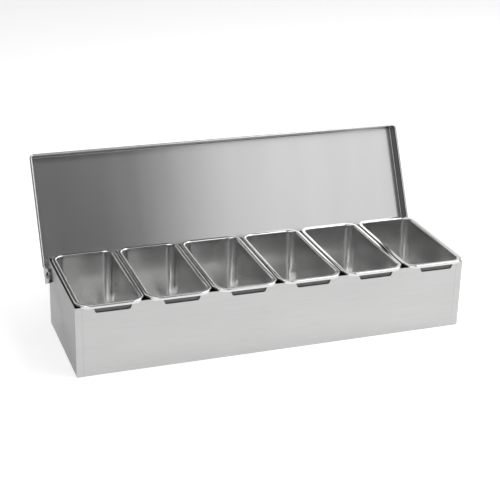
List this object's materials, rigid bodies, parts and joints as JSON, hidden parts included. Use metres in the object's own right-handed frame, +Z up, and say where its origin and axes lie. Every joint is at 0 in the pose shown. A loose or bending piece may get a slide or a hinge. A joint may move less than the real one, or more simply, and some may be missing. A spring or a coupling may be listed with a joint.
{
  "type": "condiment organizer",
  "caption": "Long stainless steel condiment organizer: a folded case with finger notches, lift-out deep inserts with rolled rims, and a hinged lid that leans back on its rear flange.",
  "frame": {"origin": "middle of the case's underside", "axes": "+X along the length, -Y is the front with the finger notches, +Y is the hinge side, +Z up"},
  "size_m": [0.5116, 0.2424, 0.2039],
  "materials": {
    "case": "fine brushed, grain along the sheet's length",
    "lid": "fine brushed, almost mirror-like along the grain",
    "insert": "drawn and polished, bright rim",
    "hinge": "satin"
  },
  "bodies": {
    "case": {"case": "case", "insert_1": "insert", "insert_2": "insert", "insert_3": "insert", "insert_4": "insert", "insert_5": "insert", "insert_6": "insert", "hinge_rivet_left": "hinge", "hinge_rivet_right": "hinge", "spacer_left": "hinge", "spacer_right": "hinge", "backing_washer_left": "hinge", "backing_washer_right": "hinge"},
    "lid": {"lid": "lid"}
  },
  "joints": [
    {"name": "lid_hinge", "type": "hinge", "parent": "case", "child": "lid", "pos_m": [0, 0.07, 0.07], "axis": [1, 0, 0], "range_deg": [0, 117.5]}
  ]
}
